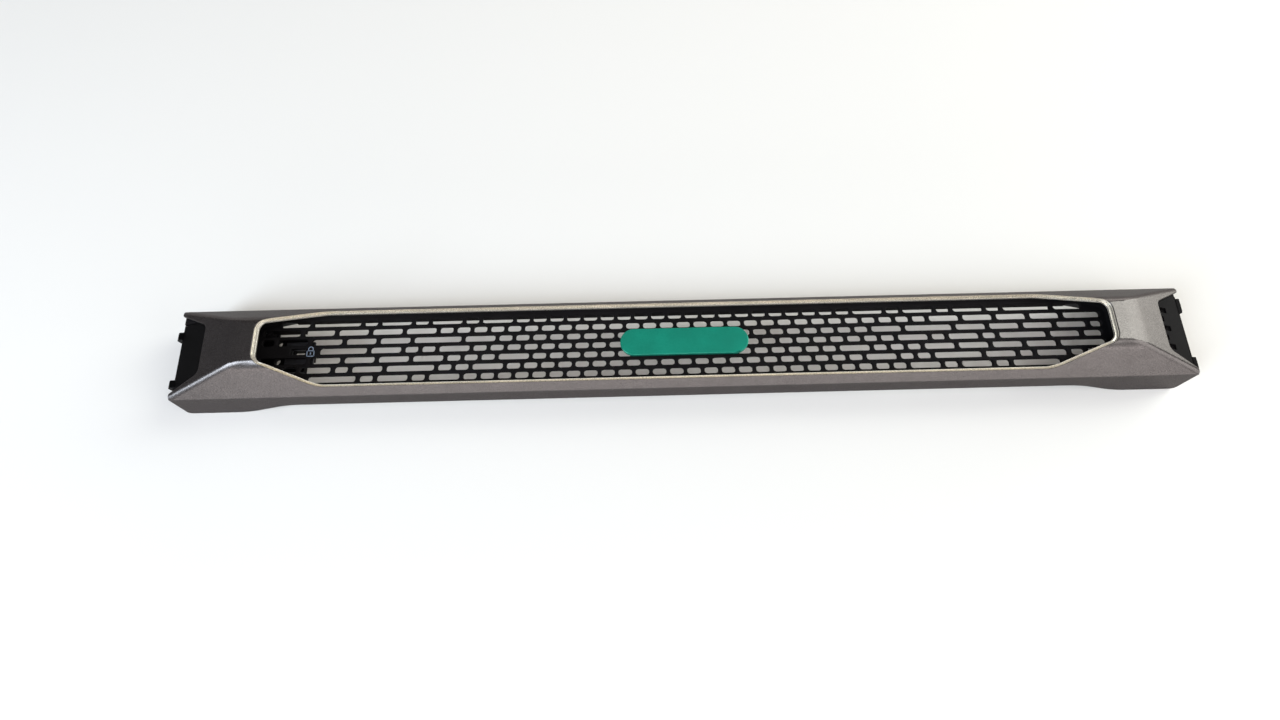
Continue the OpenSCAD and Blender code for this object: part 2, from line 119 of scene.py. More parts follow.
# The spring: steps to a turn, sides of its wire, and pitch of its closed turns in wire radii
COIL_STEPS = 22
WIRE_SIDES = 8
CLOSED_PITCH = 2.1

# The padlock: body, shackle's rise and keyhole as shares of its height or its body's height,
# shackle's radius as a share of half its width, and the keyhole's breadth in lines
BODY_SHARE = 0.52
RISE_SHARE = 0.16
KEYHOLE_SHARE = (0.32, 0.68)
SHACKLE_SHARE = 0.66
KEYHOLE_LINES = 1.3
ARCH_STEPS = 12
PRINT_LIFT = 0.03 * MM
PRINT_THICKNESS = 0.04 * MM

# Where most values of a noise texture lie
NOISE_SPREAD = (0.3, 0.7)

FLOOR_SIZE = 6
FLOOR_GAP = 0.02 * MM
# Name, place, width, height and colour of each lamp, in metres
LAMPS = (
    ("window", (-0.99, -0.66, 0.86), 0.5, 0.9, (0.78, 0.89, 1.0)),
    ("low", (0.10, -1.35, 0.22), 2.4, 0.4, (1.0, 0.95, 0.93)),
    ("above", (0.10, -0.40, 1.25), 0.9, 0.6, (1.0, 0.97, 0.94)),
    ("back", (0.50, 1.30, 0.28), 1.8, 0.4, (1.0, 0.97, 0.92)),
    ("fill", (1.10, -0.55, 0.60), 0.8, 0.8, (1.0, 0.98, 0.95)),
    ("side", (1.25, 0.50, 0.78), 0.75, 1.6, (0.96, 1.0, 0.93)),
)


# ---------------------------------------------------------------- settings

class ShellSettings(bpy.types.PropertyGroup):
    """Finish and softness of the painted shell."""

    paint: FloatVectorProperty(
        name="Paint", description="Colour of the metallic paint",
        subtype="COLOR", size=3, min=0, max=1, default=(0.148, 0.136, 0.134))
    sparkle: FloatProperty(
        name="Sparkle", description="How much the paint's flakes differ in brightness",
        subtype="FACTOR", min=0, max=1, default=0.24)
    flake: FloatProperty(
        name="Flake size", description="Size of the paint's flakes",
        unit="LENGTH", precision=5, min=0.05 * MM, default=0.16 * MM)
    metal: FloatProperty(
        name="Metal share", description="How metallic the paint is",
        subtype="FACTOR", min=0, max=1, default=0.90)
    gloss: FloatProperty(
        name="Roughness", description="Roughness of the paint",
        subtype="FACTOR", min=0, max=1, default=0.30)
    # The lip's pale colour and lower metal share are a painted highlight along the opening's edge, not a
    # different paint
    rim_highlight: FloatVectorProperty(
        name="Rim", description="Colour of the bright sunken lip",
        subtype="COLOR", size=3, min=0, max=1, default=(0.87, 0.82, 0.72))
    rim_highlight_metal: FloatProperty(
        name="Rim metal share", description="How metallic the lip is",
        subtype="FACTOR", min=0, max=1, default=0.6)
    raw: FloatVectorProperty(
        name="Raw plastic", description="Colour of the unpainted inside",
        subtype="COLOR", size=3, min=0, max=1, default=(0.060, 0.060, 0.062))
    ridge: FloatProperty(
        name="Ridge softness", description="Half the width of the roll from an end to a bevel",
        unit="LENGTH", precision=5, min=0.2 * MM, default=1.6 * MM)
    crown: FloatProperty(
        name="Crown softness", description="Half the width of the roll off the flat band",
        unit="LENGTH", precision=5, min=0.2 * MM, default=2.6 * MM)
    cuts: IntProperty(
        name="Ridge cuts", description="Cuts on each side of a ridge",
        min=2, max=8, default=5)
    edge: FloatProperty(
        name="Edge radius", description="Radius of the shell's sharp edges",
        unit="LENGTH", precision=5, min=0.05 * MM, default=0.36 * MM)


class PlasticSettings(bpy.types.PropertyGroup):
    """Finish of the black moulded pieces."""

    black: FloatVectorProperty(
        name="Black", description="Colour of the black plastic",
        subtype="COLOR", size=3, min=0, max=1, default=(0.0075, 0.0068, 0.0074))
    gloss: FloatProperty(
        name="Roughness", description="Roughness of the black plastic",
        subtype="FACTOR", min=0, max=1, default=0.62)
    grain: FloatProperty(
        name="Grain", description="Size of the moulded texture's grain",
        unit="LENGTH", precision=5, min=0.05 * MM, default=0.3 * MM)
    grille_edge: FloatProperty(
        name="Grille edge radius", description="Radius of the edges of the grille's slots",
        unit="LENGTH", precision=5, min=0.05 * MM, default=0.3 * MM)
    edge: FloatProperty(
        name="Edge radius", description="Radius of the edges of the brackets and the latch",
        unit="LENGTH", precision=5, min=0.05 * MM, default=0.3 * MM)


class BadgeSettings(bpy.types.PropertyGroup):
    """Finish of the blank badge."""

    green: FloatVectorProperty(
        name="Green", description="Colour of the badge",
        subtype="COLOR", size=3, min=0, max=1, default=(0.008, 0.300, 0.205))
    gloss: FloatProperty(
        name="Roughness", description="Roughness of the badge",
        subtype="FACTOR", min=0, max=1, default=0.3)
    edge: FloatProperty(
        name="Edge radius", description="Radius of the badge's front edge",
        unit="LENGTH", precision=5, min=0.1 * MM, default=0.3 * MM)


class HardwareSettings(bpy.types.PropertyGroup):
    """Spring, clips, screws and plate."""

    steel: FloatVectorProperty(
        name="Steel", description="Colour of the spring and the clips",
        subtype="COLOR", size=3, min=0, max=1, default=(0.56, 0.56, 0.58))
    zinc: FloatVectorProperty(
        name="Zinc", description="Colour of the lock plate",
        subtype="COLOR", size=3, min=0, max=1, default=(0.06, 0.06, 0.066))
    screw: FloatVectorProperty(
        name="Screw", description="Colour of the blackened screws",
        subtype="COLOR", size=3, min=0, max=1, default=(0.045, 0.045, 0.05))
    wire: FloatProperty(
        name="Wire radius", description="Radius of the spring's wire",
        unit="LENGTH", precision=5, min=0.1 * MM, default=0.28 * MM)
    turns: IntProperty(
        name="Turns", description="Open turns of the spring", min=3, max=14, default=9)
    closed: FloatProperty(
        name="Closed turns", description="Turns at each end that lie against each other",
        min=0, max=2, default=1)


class SymbolSettings(bpy.types.PropertyGroup):
    """The printed padlock beside the lock slot."""

    ink: FloatVectorProperty(
        name="Ink", description="Colour of the print",
        subtype="COLOR", size=3, min=0, max=1, default=(0.20, 0.25, 0.34))
    width: FloatProperty(
        name="Width", description="Width of the padlock",
        unit="LENGTH", precision=5, default=3.7 * MM)
    height: FloatProperty(
        name="Height", description="Height of the padlock with its shackle",
        unit="LENGTH", precision=5, default=5.2 * MM)
    line: FloatProperty(
        name="Line", description="Width of the printed lines",
        unit="LENGTH", precision=5, default=0.42 * MM)
    offset: FloatProperty(
        name="Offset", description="Distance of the padlock from the middle of the lock plate",
        unit="LENGTH", precision=5, default=6 * MM)


class StageSettings(bpy.types.PropertyGroup):
    """Floor, lamps, world and camera."""

    camera_place: FloatVectorProperty(
        name="Camera", description="Place of the camera",
        subtype="TRANSLATION", unit="LENGTH", size=3, default=(-0.0234, -0.1224, 0.3464))
    camera_aim: FloatVectorProperty(
        name="Aim", description="Point that the camera looks at",
        subtype="TRANSLATION", unit="LENGTH", size=3, default=(-0.0210, -0.0083, 0.0234))
    camera_roll: FloatProperty(
        name="Roll", description="Turn of the camera about its own axis",
        subtype="ANGLE", default=math.radians(-0.29))
    lens: FloatProperty(
        name="Lens", description="Focal length in millimetres", min=1, default=20.68)
    floor: FloatVectorProperty(
        name="Floor", description="Colour of the floor",
        subtype="COLOR", size=3, min=0, max=1, default=(0.86, 0.85, 0.84))
    haze: FloatVectorProperty(
        name="Floor glow", description="What the floor adds to its own colour",
        subtype="COLOR", size=3, min=0, max=1, default=(0.035, 0.028, 0.018))
    sky: FloatVectorProperty(
        name="World", description="Colour of the world's even light",
        subtype="COLOR", size=3, min=0, max=1, default=(0.10, 0.09, 0.09))
    window: FloatProperty(
        name="Window lamp", description="Power of the cool lamp at the left, in watts", default=16)
    above: FloatProperty(
        name="Lamp above", description="Power of the broad lamp above, in watts", default=5)
    low: FloatProperty(
        name="Low lamp", description="Power of the low strip in front, in watts", default=8)
    back: FloatProperty(
        name="Back lamp", description="Power of the low strip behind, in watts", default=7)
    fill: FloatProperty(
        name="Fill lamp", description="Power of the lamp at the front right, in watts", default=5)
    side: FloatProperty(
        name="Side lamp", description="Power of the large lamp at the right, in watts", default=16)


# ---------------------------------------------------------------- materials

def new_material(name):
    """An empty node material with a Principled shader, as (material, nodes, links, shader)."""
    material = bpy.data.materials.new(name)
    material.use_nodes = True
    nodes = material.node_tree.nodes
    return material, nodes, material.node_tree.links, nodes["Principled BSDF"]


def texture(nodes, links, kind, size, **values):
    """A noise or Voronoi texture whose features have the given size, in object coordinates."""
    place = nodes.new("ShaderNodeTexCoord")
    node = nodes.new(kind)
    node.inputs["Scale"].default_value = 1 / size
    for socket, value in values.items():
        node.inputs[socket].default_value = value
    links.new(place.outputs["Object"], node.inputs["Vector"])
    return node


def ramp(nodes, links, source, low, high, spread=NOISE_SPREAD):
    """Maps a texture's value to a colour between low and high."""
    node = nodes.new("ShaderNodeValToRGB")
    for stop, place, color in zip(node.color_ramp.elements, spread, (low, high)):
        stop.position = place
        stop.color = (*color, 1)
    links.new(source, node.inputs["Fac"])
    return node.outputs["Color"]


def span(nodes, links, source, low, high):
    """Maps a noise texture's usual values to low..high."""
    node = nodes.new("ShaderNodeMapRange")
    for socket, value in zip(("From Min", "From Max", "To Min", "To Max"),
                             (*NOISE_SPREAD, low, high)):
        node.inputs[socket].default_value = value
    links.new(source, node.inputs["Value"])
    return node.outputs["Result"]


def bump(nodes, links, shader, source, strength, depth):
    """Roughens the shader's normal with a texture's value."""
    node = nodes.new("ShaderNodeBump")
    node.inputs["Strength"].default_value = strength
    node.inputs["Distance"].default_value = depth
    links.new(source, node.inputs["Height"])
    links.new(node.outputs["Normal"], shader.inputs["Normal"])


def scaled(color, factor):
    """A colour made lighter or darker."""
    return tuple(min(1.0, c * factor) for c in color)


def metallic_paint(name, color, settings, metal, sparkle):
    """Metallic paint: fine flakes, a slight orange peel and a little cloudiness."""
    material, nodes, links, shader = new_material(name)
    cloud_size = 45 * settings.flake
    peel_size = 4 * settings.flake
    flakes = texture(nodes, links, "ShaderNodeTexVoronoi", settings.flake)
    cloud = texture(nodes, links, "ShaderNodeTexNoise", cloud_size, Detail=3)
    peel = texture(nodes, links, "ShaderNodeTexNoise", peel_size, Detail=2)
    split = nodes.new("ShaderNodeSeparateColor")
    links.new(flakes.outputs["Color"], split.inputs["Color"])
    tone = ramp(nodes, links, split.outputs["Red"], scaled(color, 1 - sparkle),
                scaled(color, 1 + sparkle), (0.1, 0.9))
    shade = ramp(nodes, links, cloud.outputs["Fac"], (0.90, 0.90, 0.90), (1, 1, 1))
    mix = nodes.new("ShaderNodeMix")
    mix.data_type = "RGBA"
    mix.blend_type = "MULTIPLY"
    mix.inputs["Factor"].default_value = 1
    links.new(tone, mix.inputs["A"])
    links.new(shade, mix.inputs["B"])
    links.new(mix.outputs["Result"], shader.inputs["Base Color"])
    links.new(span(nodes, links, split.outputs["Green"], settings.gloss * 0.8,
                   settings.gloss * 1.2), shader.inputs["Roughness"])
    shader.inputs["Metallic"].default_value = metal
    shader.inputs["Specular Tint"].default_value = (0.35, 0.34, 0.34, 1)
    bump(nodes, links, shader, peel.outputs["Fac"], 0.12, 0.02 * MM)
    return material


def moulded_plastic(name, color, gloss, grain):
    """Black or dark plastic with the fine texture of its mould."""
    material, nodes, links, shader = new_material(name)
    fine = texture(nodes, links, "ShaderNodeTexNoise", grain, Detail=4, Roughness=0.6)
    wide = texture(nodes, links, "ShaderNodeTexNoise", 60 * grain, Detail=2)
    links.new(ramp(nodes, links, wide.outputs["Fac"], scaled(color, 0.85), scaled(color, 1.2)),
              shader.inputs["Base Color"])
    links.new(span(nodes, links, fine.outputs["Fac"], gloss * 0.85, gloss * 1.15),
              shader.inputs["Roughness"])
    shader.inputs["Specular IOR Level"].default_value = 0.05
    bump(nodes, links, shader, fine.outputs["Fac"], 0.35, 0.03 * MM)
    return material


def satin_green(name, settings):
    """The badge's satin finish, with a fine brushed grain under a clear coat."""
    material, nodes, links, shader = new_material(name)
    grain = texture(nodes, links, "ShaderNodeTexNoise", 0.25 * MM, Detail=3)
    cloud = texture(nodes, links, "ShaderNodeTexNoise", 14 * MM, Detail=2)
    links.new(ramp(nodes, links, cloud.outputs["Fac"], scaled(settings.green, 0.86),
                   scaled(settings.green, 1.12)), shader.inputs["Base Color"])
    links.new(span(nodes, links, grain.outputs["Fac"], settings.gloss * 0.8,
                   settings.gloss * 1.2), shader.inputs["Roughness"])
    shader.inputs["Metallic"].default_value = 0.35
    shader.inputs["Coat Weight"].default_value = 0.3
    shader.inputs["Coat Roughness"].default_value = 0.12
    bump(nodes, links, shader, grain.outputs["Fac"], 0.12, 0.01 * MM)
    return material


def plated_steel(name, color, gloss, grain):
    """Plain plated steel with faint streaks along X."""
    material, nodes, links, shader = new_material(name)
    place = nodes.new("ShaderNodeTexCoord")
    stretch = nodes.new("ShaderNodeMapping")
    stretch.inputs["Scale"].default_value = (0.08, 1, 1)
    streaks = nodes.new("ShaderNodeTexNoise")
    streaks.inputs["Scale"].default_value = 1 / grain
    links.new(place.outputs["Object"], stretch.inputs["Vector"])
    links.new(stretch.outputs["Vector"], streaks.inputs["Vector"])
    links.new(ramp(nodes, links, streaks.outputs["Fac"], scaled(color, 0.85),
                   scaled(color, 1.1)), shader.inputs["Base Color"])
    links.new(span(nodes, links, streaks.outputs["Fac"], gloss * 0.8, gloss * 1.25),
              shader.inputs["Roughness"])
    shader.inputs["Metallic"].default_value = 1
    bump(nodes, links, shader, streaks.outputs["Fac"], 0.15, 0.01 * MM)
    return material


def printed_ink(name, color):
    """Thin matt print with slightly uneven cover."""
    material, nodes, links, shader = new_material(name)
    cover = texture(nodes, links, "ShaderNodeTexNoise", 0.2 * MM, Detail=2)
    links.new(ramp(nodes, links, cover.outputs["Fac"], scaled(color, 0.8), scaled(color, 1.15)),
              shader.inputs["Base Color"])
    shader.inputs["Roughness"].default_value = 0.6
    return material


def paint_node(node, material):
    """Gives a carried-over node one material in all its slots."""
    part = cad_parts[node]
    if not part.material_slots:
        part.data.materials.append(material)
    for slot in part.material_slots:
        slot.material = material


# ---------------------------------------------------------------- meshes

def round_edges(piece, radius, segments=2):
    """Welds a piece and rounds its sharp edges with modifiers, and evens its shading."""
    join = piece.modifiers.new("weld", "WELD")
    join.merge_threshold = WELD
    edge = piece.modifiers.new("edge", "BEVEL")
    edge.limit_method = "ANGLE"
    edge.angle_limit = SHARP
    edge.width = radius
    edge.segments = segments
    edge.use_clamp_overlap = False
    piece.modifiers.new("shading", "WEIGHTED_NORMAL")


def round_form(form, radius, skin):
    """Rounds the sharp edges around the skin, and pulls back any corner that strays."""
    surface = BVHTree.FromBMesh(form)
    sharp = [e for e in form.edges if len(e.link_faces) == 2 and e.calc_face_angle() > SHARP
             and not all(skin.covers(f) for f in e.link_faces)]
    bmesh.ops.bevel(form, geom=sharp, offset=radius, offset_type="OFFSET", segments=2,
                    profile=0.5, affect="EDGES", clamp_overlap=False, loop_slide=True,
                    material=-1)
    for vertex in form.verts:
        near, _, _, gap = surface.find_nearest(vertex.co)
        if gap > radius / 2:
            vertex.co = near
        vertex.co = [min(max(c, low), high) for c, low, high in zip(vertex.co, *CAD_BOX)]


def working_form(node):
    """A bmesh of a node with its triangles merged into whole flat faces."""
    form = bmesh.new()
    form.from_mesh(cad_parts[node].data)
    bmesh.ops.remove_doubles(form, verts=form.verts, dist=WELD)
    bmesh.ops.dissolve_limit(form, angle_limit=FLAT, verts=form.verts, edges=form.edges)
    return form


def new_piece(name, form, materials):
    """Turns a bmesh into an object of the scene, with its materials."""
    mesh = bpy.data.meshes.new(name)
    form.to_mesh(mesh)
    form.free()
    for leftover in [a.name for a in mesh.attributes if a.name == "custom_normal"]:
        mesh.attributes.remove(mesh.attributes[leftover])
    for polygon in mesh.polygons:
        polygon.use_smooth = True
    for material in materials:
        mesh.materials.append(material)
    piece = bpy.data.objects.new(name, mesh)
    bpy.context.scene.collection.objects.link(piece)
    return piece


def grille_face():
    """Z of the grille's front face, where most of its upward area lies."""
    areas = {}
    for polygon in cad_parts["grille"].data.polygons:
        if polygon.normal.z > 0.99:
            height = round(polygon.center.z / MM, 2)
            areas[height] = areas.get(height, 0) + polygon.area
    return max(areas, key=areas.get) * MM


class Slope:
    """A flat outer face of the shell, found by the direction that it faces."""

    def __init__(self, form, direction):
        toward = Vector(direction).normalized()
        near = [f for f in form.faces if f.normal.angle(toward, math.pi) < SLOPE_SEARCH]
        face = max(near, key=lambda f: f.calc_area())
        self.normal = face.normal.copy()
        self.reach = max(self.normal.dot(v.co) for f in near for v in f.verts
                         if f.normal.angle(self.normal) < 2 * FLAT)
        self.rise = math.hypot(self.normal.x, self.normal.y) / max(self.normal.z, WELD)

    def depth(self, point):
        """How far a point lies below the slope."""
        return self.reach - self.normal.dot(point)

    def height(self, x, y):
        """The slope's Z over a point of the XY plane."""
        return (self.reach - self.normal.x * x - self.normal.y * y) / self.normal.z


def soft_min(one, two, reach):
    """The lower of two heights, rolled smoothly into the other where they come close."""
    gap = abs(one - two)
    return min(one, two) - max(reach - gap, 0) ** 2 / (4 * reach)


class OuterSkin:
    """The shell's painted outside: a flat band, two sloping ends and two bevels."""

    def __init__(self, form, settings):
        self.band = Slope(form, (0, 0, 1))
        self.ends = {side: Slope(form, (0.4 * side, 0, 0.92)) for side in (-1, 1)}
        self.bevels = {side: Slope(form, (0, 0.82 * side, 0.58)) for side in (-1, 1)}
        self.walls = {side: Slope(form, (0, side, 0)) for side in (-1, 1)}
        self.settings = settings

    def depth(self, point):
        """How far a point lies below the outside."""
        return min(s.depth(point) for s in (self.band, *self.ends.values(),
                                            *self.bevels.values()))

    def heights(self, x, y):
        """Z of the band, of the nearer end and of the nearer bevel."""
        return (self.band.height(x, y), self.ends[1 if x > 0 else -1].height(x, y),
                self.bevels[1 if y > 0 else -1].height(x, y))

    def soft(self, x, y):
        """Z of the outside with its edges rolled."""
        band, end, bevel = self.heights(x, y)
        end_rise, bevel_rise = self.ends[1].rise, self.bevels[1].rise
        reach = self.settings.ridge * math.hypot(end_rise, bevel_rise)
        lean = min(1.0, max(0.0, 0.5 + (end - bevel) / (2 * reach)))
        rise = end_rise + (bevel_rise - end_rise) * lean
        return soft_min(soft_min(end, bevel, reach), band, self.settings.crown * rise)

    def normal(self, x, y):
        """The direction that the rolled outside faces."""
        step = 0.02 * MM
        return Vector((self.soft(x - step, y) - self.soft(x + step, y),
                       self.soft(x, y - step) - self.soft(x, y + step), 2 * step)).normalized()

    def covers(self, face):
        """Whether a face is part of the outside."""
        return (face.normal.z > FACING_UP
                and all(self.depth(v.co) < SKIN_DEPTH for v in face.verts))

    def faces(self, form, side_x, side_y):
        """The faces of one quarter of the outside."""
        return [f for f in form.faces if self.covers(f)
                and all(side_x * v.co.x > -WELD and side_y * v.co.y > -WELD for v in f.verts)]

    def roll(self, form):
        """Cuts the outside finely along its edges, and lowers it to the rolled height."""
        settings = self.settings
        for normal in (Vector((1, 0, 0)), Vector((0, 1, 0))):
            slice_faces(form, form.faces, Vector(), normal)
        for side_x, side_y in ((-1, -1), (-1, 1), (1, -1), (1, 1)):
            end, bevel = self.ends[side_x], self.bevels[side_y]
            across = end.normal.cross(bevel.normal).cross(Vector((0, 0, 1))).normalized()
            corner = Vector(((end.reach - end.normal.z * self.band.reach) / end.normal.x,
                             (bevel.reach - bevel.normal.z * self.band.reach) / bevel.normal.y,
                             0))
            for step in range(-settings.cuts, settings.cuts + 1):
                share = step / settings.cuts
                for normal, width in ((across, settings.ridge), (Vector((0, 1, 0)), settings.crown),
                                      (Vector((1, 0, 0)), settings.crown)):
                    slice_faces(form, self.faces(form, side_x, side_y),
                                corner + normal * width * share, normal)
        skin = dict.fromkeys(f for side_x in (-1, 1) for side_y in (-1, 1)
                             for f in self.faces(form, side_x, side_y))
        flat = bmesh.ops.triangulate(form, faces=list(skin))["faces"]
        for vertex in {v for f in flat for v in f.verts}:
            vertex.co.z = min(vertex.co.z, self.soft(vertex.co.x, vertex.co.y))

    def normals(self, form):
        """A normal for each vertex: exact on the outside, led by the large faces elsewhere."""
        found = []
        for vertex in form.verts:
            x, y, z = vertex.co
            lead = sum((f.normal * f.calc_area() for f in vertex.link_faces),
                       Vector()).normalized()
            exact = self.normal(x, y)
            on_skin = abs(z - self.soft(x, y)) < ON_SKIN and lead.dot(exact) > SAME_WAY
            found.append(exact if on_skin else lead)
        return found


def slice_faces(form, faces, place, normal):
    """Cuts some faces of a bmesh along a plane."""
    parts = list(dict.fromkeys(part for f in faces for part in (f, *f.edges, *f.verts)))
    bmesh.ops.bisect_plane(form, geom=parts, plane_co=place, plane_no=normal, dist=WELD)


def finish_regions(form, skin):
    """Gives each face of the shell its material: 0 paint, 1 the lip and its step's walls in a lighter paint
    that is a painted highlight, 2 raw inside.
    """
    lip_end = max(v.co.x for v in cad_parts["grille"].data.vertices)
    for face in form.faces:
        middle = face.calc_center_median()
        wall = abs(face.normal.z) < STEEP and abs(middle.x) < lip_end
        depth = skin.depth(middle)
        inward = min(side.depth(middle) for side in skin.walls.values())
        # The lip's flat face and its step's walls get the lighter lip paint, a painted highlight
        if inward > LIP_INWARD and (
                (wall and LIP_WALLS[0] < depth < LIP_WALLS[1])
                or (face.normal.z > STEEP and LIP_FACE[0] < depth < LIP_FACE[1])):
            face.material_index = 1
        elif min(depth, inward) > PAINT_DEPTH:
            face.material_index = 2
        else:
            face.material_index = 0


def sweep(points, radius, sides):
    """A closed tube along a list of points, as a bmesh."""
    form = bmesh.new()
    rings = []
    for i, point in enumerate(points):
        ahead = (points[min(i + 1, len(points) - 1)] - points[max(i - 1, 0)]).normalized()
        side = ahead.orthogonal().normalized()
        if rings:
            side = (last_side - ahead * last_side.dot(ahead)).normalized()
        up = ahead.cross(side)
        rings.append([form.verts.new(point + radius * (math.cos(a) * side + math.sin(a) * up))
                      for a in (2 * math.pi * k / sides for k in range(sides))])
        last_side = side
    for one, two in zip(rings, rings[1:]):
        for k in range(sides):
            form.faces.new((one[k], one[(k + 1) % sides], two[(k + 1) % sides], two[k]))
    form.faces.new(reversed(rings[0]))
    form.faces.new(rings[-1])
    return form


def strip(form, loop, width, z):
    """Adds a flat line of even width along a run of points."""
    inner, outer = [], []
    count = len(loop)
    for i, point in enumerate(loop):
        ahead = (loop[min(i + 1, count - 1)] - loop[max(i - 1, 0)]).normalized()
        side = Vector((-ahead.y, ahead.x))
        inner.append(form.verts.new((*(point + side * width / 2), z)))
        outer.append(form.verts.new((*(point - side * width / 2), z)))
    for i in range(count - 1):
        form.faces.new((outer[i], outer[i + 1], inner[i + 1], inner[i]))


# ---------------------------------------------------------------- pieces

class BEZEL_OT_shell(bpy.types.Operator):
    """Adds the painted shell with its soft ridges, a lip painted light as a highlight, and its raw inside"""

    bl_idname = "bezel.shell"
    bl_label = "Painted Shell"

    def execute(self, context):
        settings = context.scene.bezel_shell
        form = working_form("front_shell")
        skin = OuterSkin(form, settings)
        round_form(form, settings.edge, skin)
        skin.roll(form)
        finish_regions(form, skin)
        normals = skin.normals(form)
        piece = new_piece("painted_shell", form, [
            metallic_paint("shell_paint", settings.paint, settings, settings.metal,
                           settings.sparkle),
            # The lip's lighter paint is a painted highlight
            metallic_paint("lip_paint", settings.rim_highlight, settings, settings.rim_highlight_metal,
                           settings.sparkle / 4),
            moulded_plastic("raw_plastic", settings.raw, 0.55, 0.3 * MM)])
        piece.data.normals_split_custom_set_from_vertices(normals)
        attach(piece, "bezel")
        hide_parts("front_shell")
        return {"FINISHED"}


class BEZEL_OT_grille(bpy.types.Operator):
    """Finishes the slotted grille with rounded slot edges"""

    bl_idname = "bezel.grille"
    bl_label = "Grille"

    def execute(self, context):
        settings = context.scene.bezel_plastic
        paint_node("grille", moulded_plastic("grille_plastic", settings.black, settings.gloss,
                                             settings.grain))
        round_edges(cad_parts["grille"], settings.grille_edge)
        return {"FINISHED"}


class BEZEL_OT_brackets(bpy.types.Operator):
    """Finishes the brackets in both ends and the latch's cover"""

    bl_idname = "bezel.brackets"
    bl_label = "Brackets"

    def execute(self, context):
        settings = context.scene.bezel_plastic
        plastic = moulded_plastic("bracket_plastic", scaled(settings.black, 1.1),
                                  settings.gloss * 1.1, settings.grain)
        for node in BLACK_NODES:
            paint_node(node, plastic)
            round_edges(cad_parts[node], settings.edge)
        return {"FINISHED"}


class BEZEL_OT_latch(bpy.types.Operator):
    """Finishes the release latch, smoother than the brackets"""

    bl_idname = "bezel.latch"
    bl_label = "Release Latch"

    def execute(self, context):
        settings = context.scene.bezel_plastic
        paint_node("release_latch", moulded_plastic("latch_plastic", scaled(settings.black, 0.3),
                                                    settings.gloss * 0.8, settings.grain))
        round_edges(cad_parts["release_latch"], settings.edge)
        return {"FINISHED"}


class BEZEL_OT_spring(bpy.types.Operator):
    """Winds the latch's spring, which shortens as the latch slides"""

    bl_idname = "bezel.spring"
    bl_label = "Latch Spring"

    def execute(self, context):
        settings = context.scene.bezel_hardware
        low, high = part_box("latch_spring")
        middle = (low + high) / 2
        mean = (high.y - low.y) / 2 - settings.wire
        length = high.x - low.x - 2 * settings.wire
        pitch = CLOSED_PITCH * settings.wire
        whole = settings.turns + 2 * settings.closed
        open_pitch = (length - 2 * settings.closed * pitch) / settings.turns

        def along(turn):
            first = min(turn, settings.closed) * pitch
            inner = min(max(turn - settings.closed, 0), settings.turns) * open_pitch
            last = max(turn - settings.closed - settings.turns, 0) * pitch
            return first + inner + last

        points = []
        for i in range(round(whole * COIL_STEPS) + 1):
            turn = i / COIL_STEPS
            angle = 2 * math.pi * turn
            points.append(Vector((low.x + settings.wire + along(turn),
                                  middle.y + mean * math.cos(angle),
                                  middle.z + mean * math.sin(angle))))
        piece = new_piece("spring_coil", sweep(points, settings.wire, WIRE_SIDES),
                          [plated_steel("spring_steel", settings.steel, 0.25, 0.2 * MM)])
        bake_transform(piece, "latch", "bezel", start=(low.x, middle.y, middle.z),
                 end=(high.x, middle.y, middle.z))
        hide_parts("latch_spring")
        return {"FINISHED"}


class BEZEL_OT_hardware(bpy.types.Operator):
    """Finishes the badge's clips, the screws and the steel plate behind the lock slot"""

    bl_idname = "bezel.hardware"
    bl_label = "Hardware"

    def execute(self, context):
        settings = context.scene.bezel_hardware
        paint_node("badge_clips", plated_steel("clip_steel", settings.steel, 0.3, 0.3 * MM))
        paint_node("lock_plate", plated_steel("plate_zinc", settings.zinc, 0.42, 0.5 * MM))
        round_edges(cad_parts["lock_plate"], SMALL_EDGE)
        screw = plated_steel("screw_black", settings.screw, 0.4, 0.2 * MM)
        for node in ("end_screws", "cover_screws"):
            paint_node(node, screw)
            round_edges(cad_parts[node], SMALL_EDGE)
        return {"FINISHED"}


class BEZEL_OT_badge(bpy.types.Operator):
    """Finishes the blank green badge with a soft front edge"""

    bl_idname = "bezel.badge"
    bl_label = "Badge"

    def execute(self, context):
        settings = context.scene.bezel_badge
        paint_node("badge", satin_green("badge_green", settings))
        round_edges(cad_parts["badge"], settings.edge, segments=3)
        return {"FINISHED"}


class BEZEL_OT_symbol(bpy.types.Operator):
    """Prints a plain padlock beside the lock slot"""

    bl_idname = "bezel.symbol"
    bl_label = "Padlock Symbol"

    def execute(self, context):
        settings = context.scene.bezel_symbol
        low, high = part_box("lock_plate")
        x = (low.x + high.x) / 2 + settings.offset
        y = (low.y + high.y) / 2
        z = grille_face() + PRINT_LIFT
        half = settings.width / 2 - settings.line / 2
        body = settings.height * BODY_SHARE
        bottom = y - settings.height / 2 + settings.line / 2
        form = bmesh.new()
        corners = [(-half, 0), (half, 0), (half, body), (-half, body), (-half, 0)]
        box = [Vector((x + px, bottom + py)) for px, py in corners]
        for one, two in zip(box, box[1:]):
            reach = (two - one).normalized() * settings.line / 2
            strip(form, [one - reach, two + reach], settings.line, z)
        shackle_r = half * SHACKLE_SHARE
        turn_y = bottom + body + settings.height * RISE_SHARE
        arch = [Vector((x + shackle_r * math.cos(a), turn_y + shackle_r * math.sin(a)))
                for a in (math.pi * k / ARCH_STEPS for k in range(ARCH_STEPS + 1))]
        strip(form, [Vector((x + shackle_r, bottom + body)), *arch,
                     Vector((x - shackle_r, bottom + body))], settings.line, z)
        strip(form, [Vector((x, bottom + body * share)) for share in KEYHOLE_SHARE],
              settings.line * KEYHOLE_LINES, z)
        piece = new_piece("padlock_print", form, [printed_ink("print_ink", settings.ink)])
        thick = piece.modifiers.new("thickness", "SOLIDIFY")
        thick.thickness = PRINT_THICKNESS
        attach(piece, "bezel")
        return {"FINISHED"}


# ---------------------------------------------------------------- stage

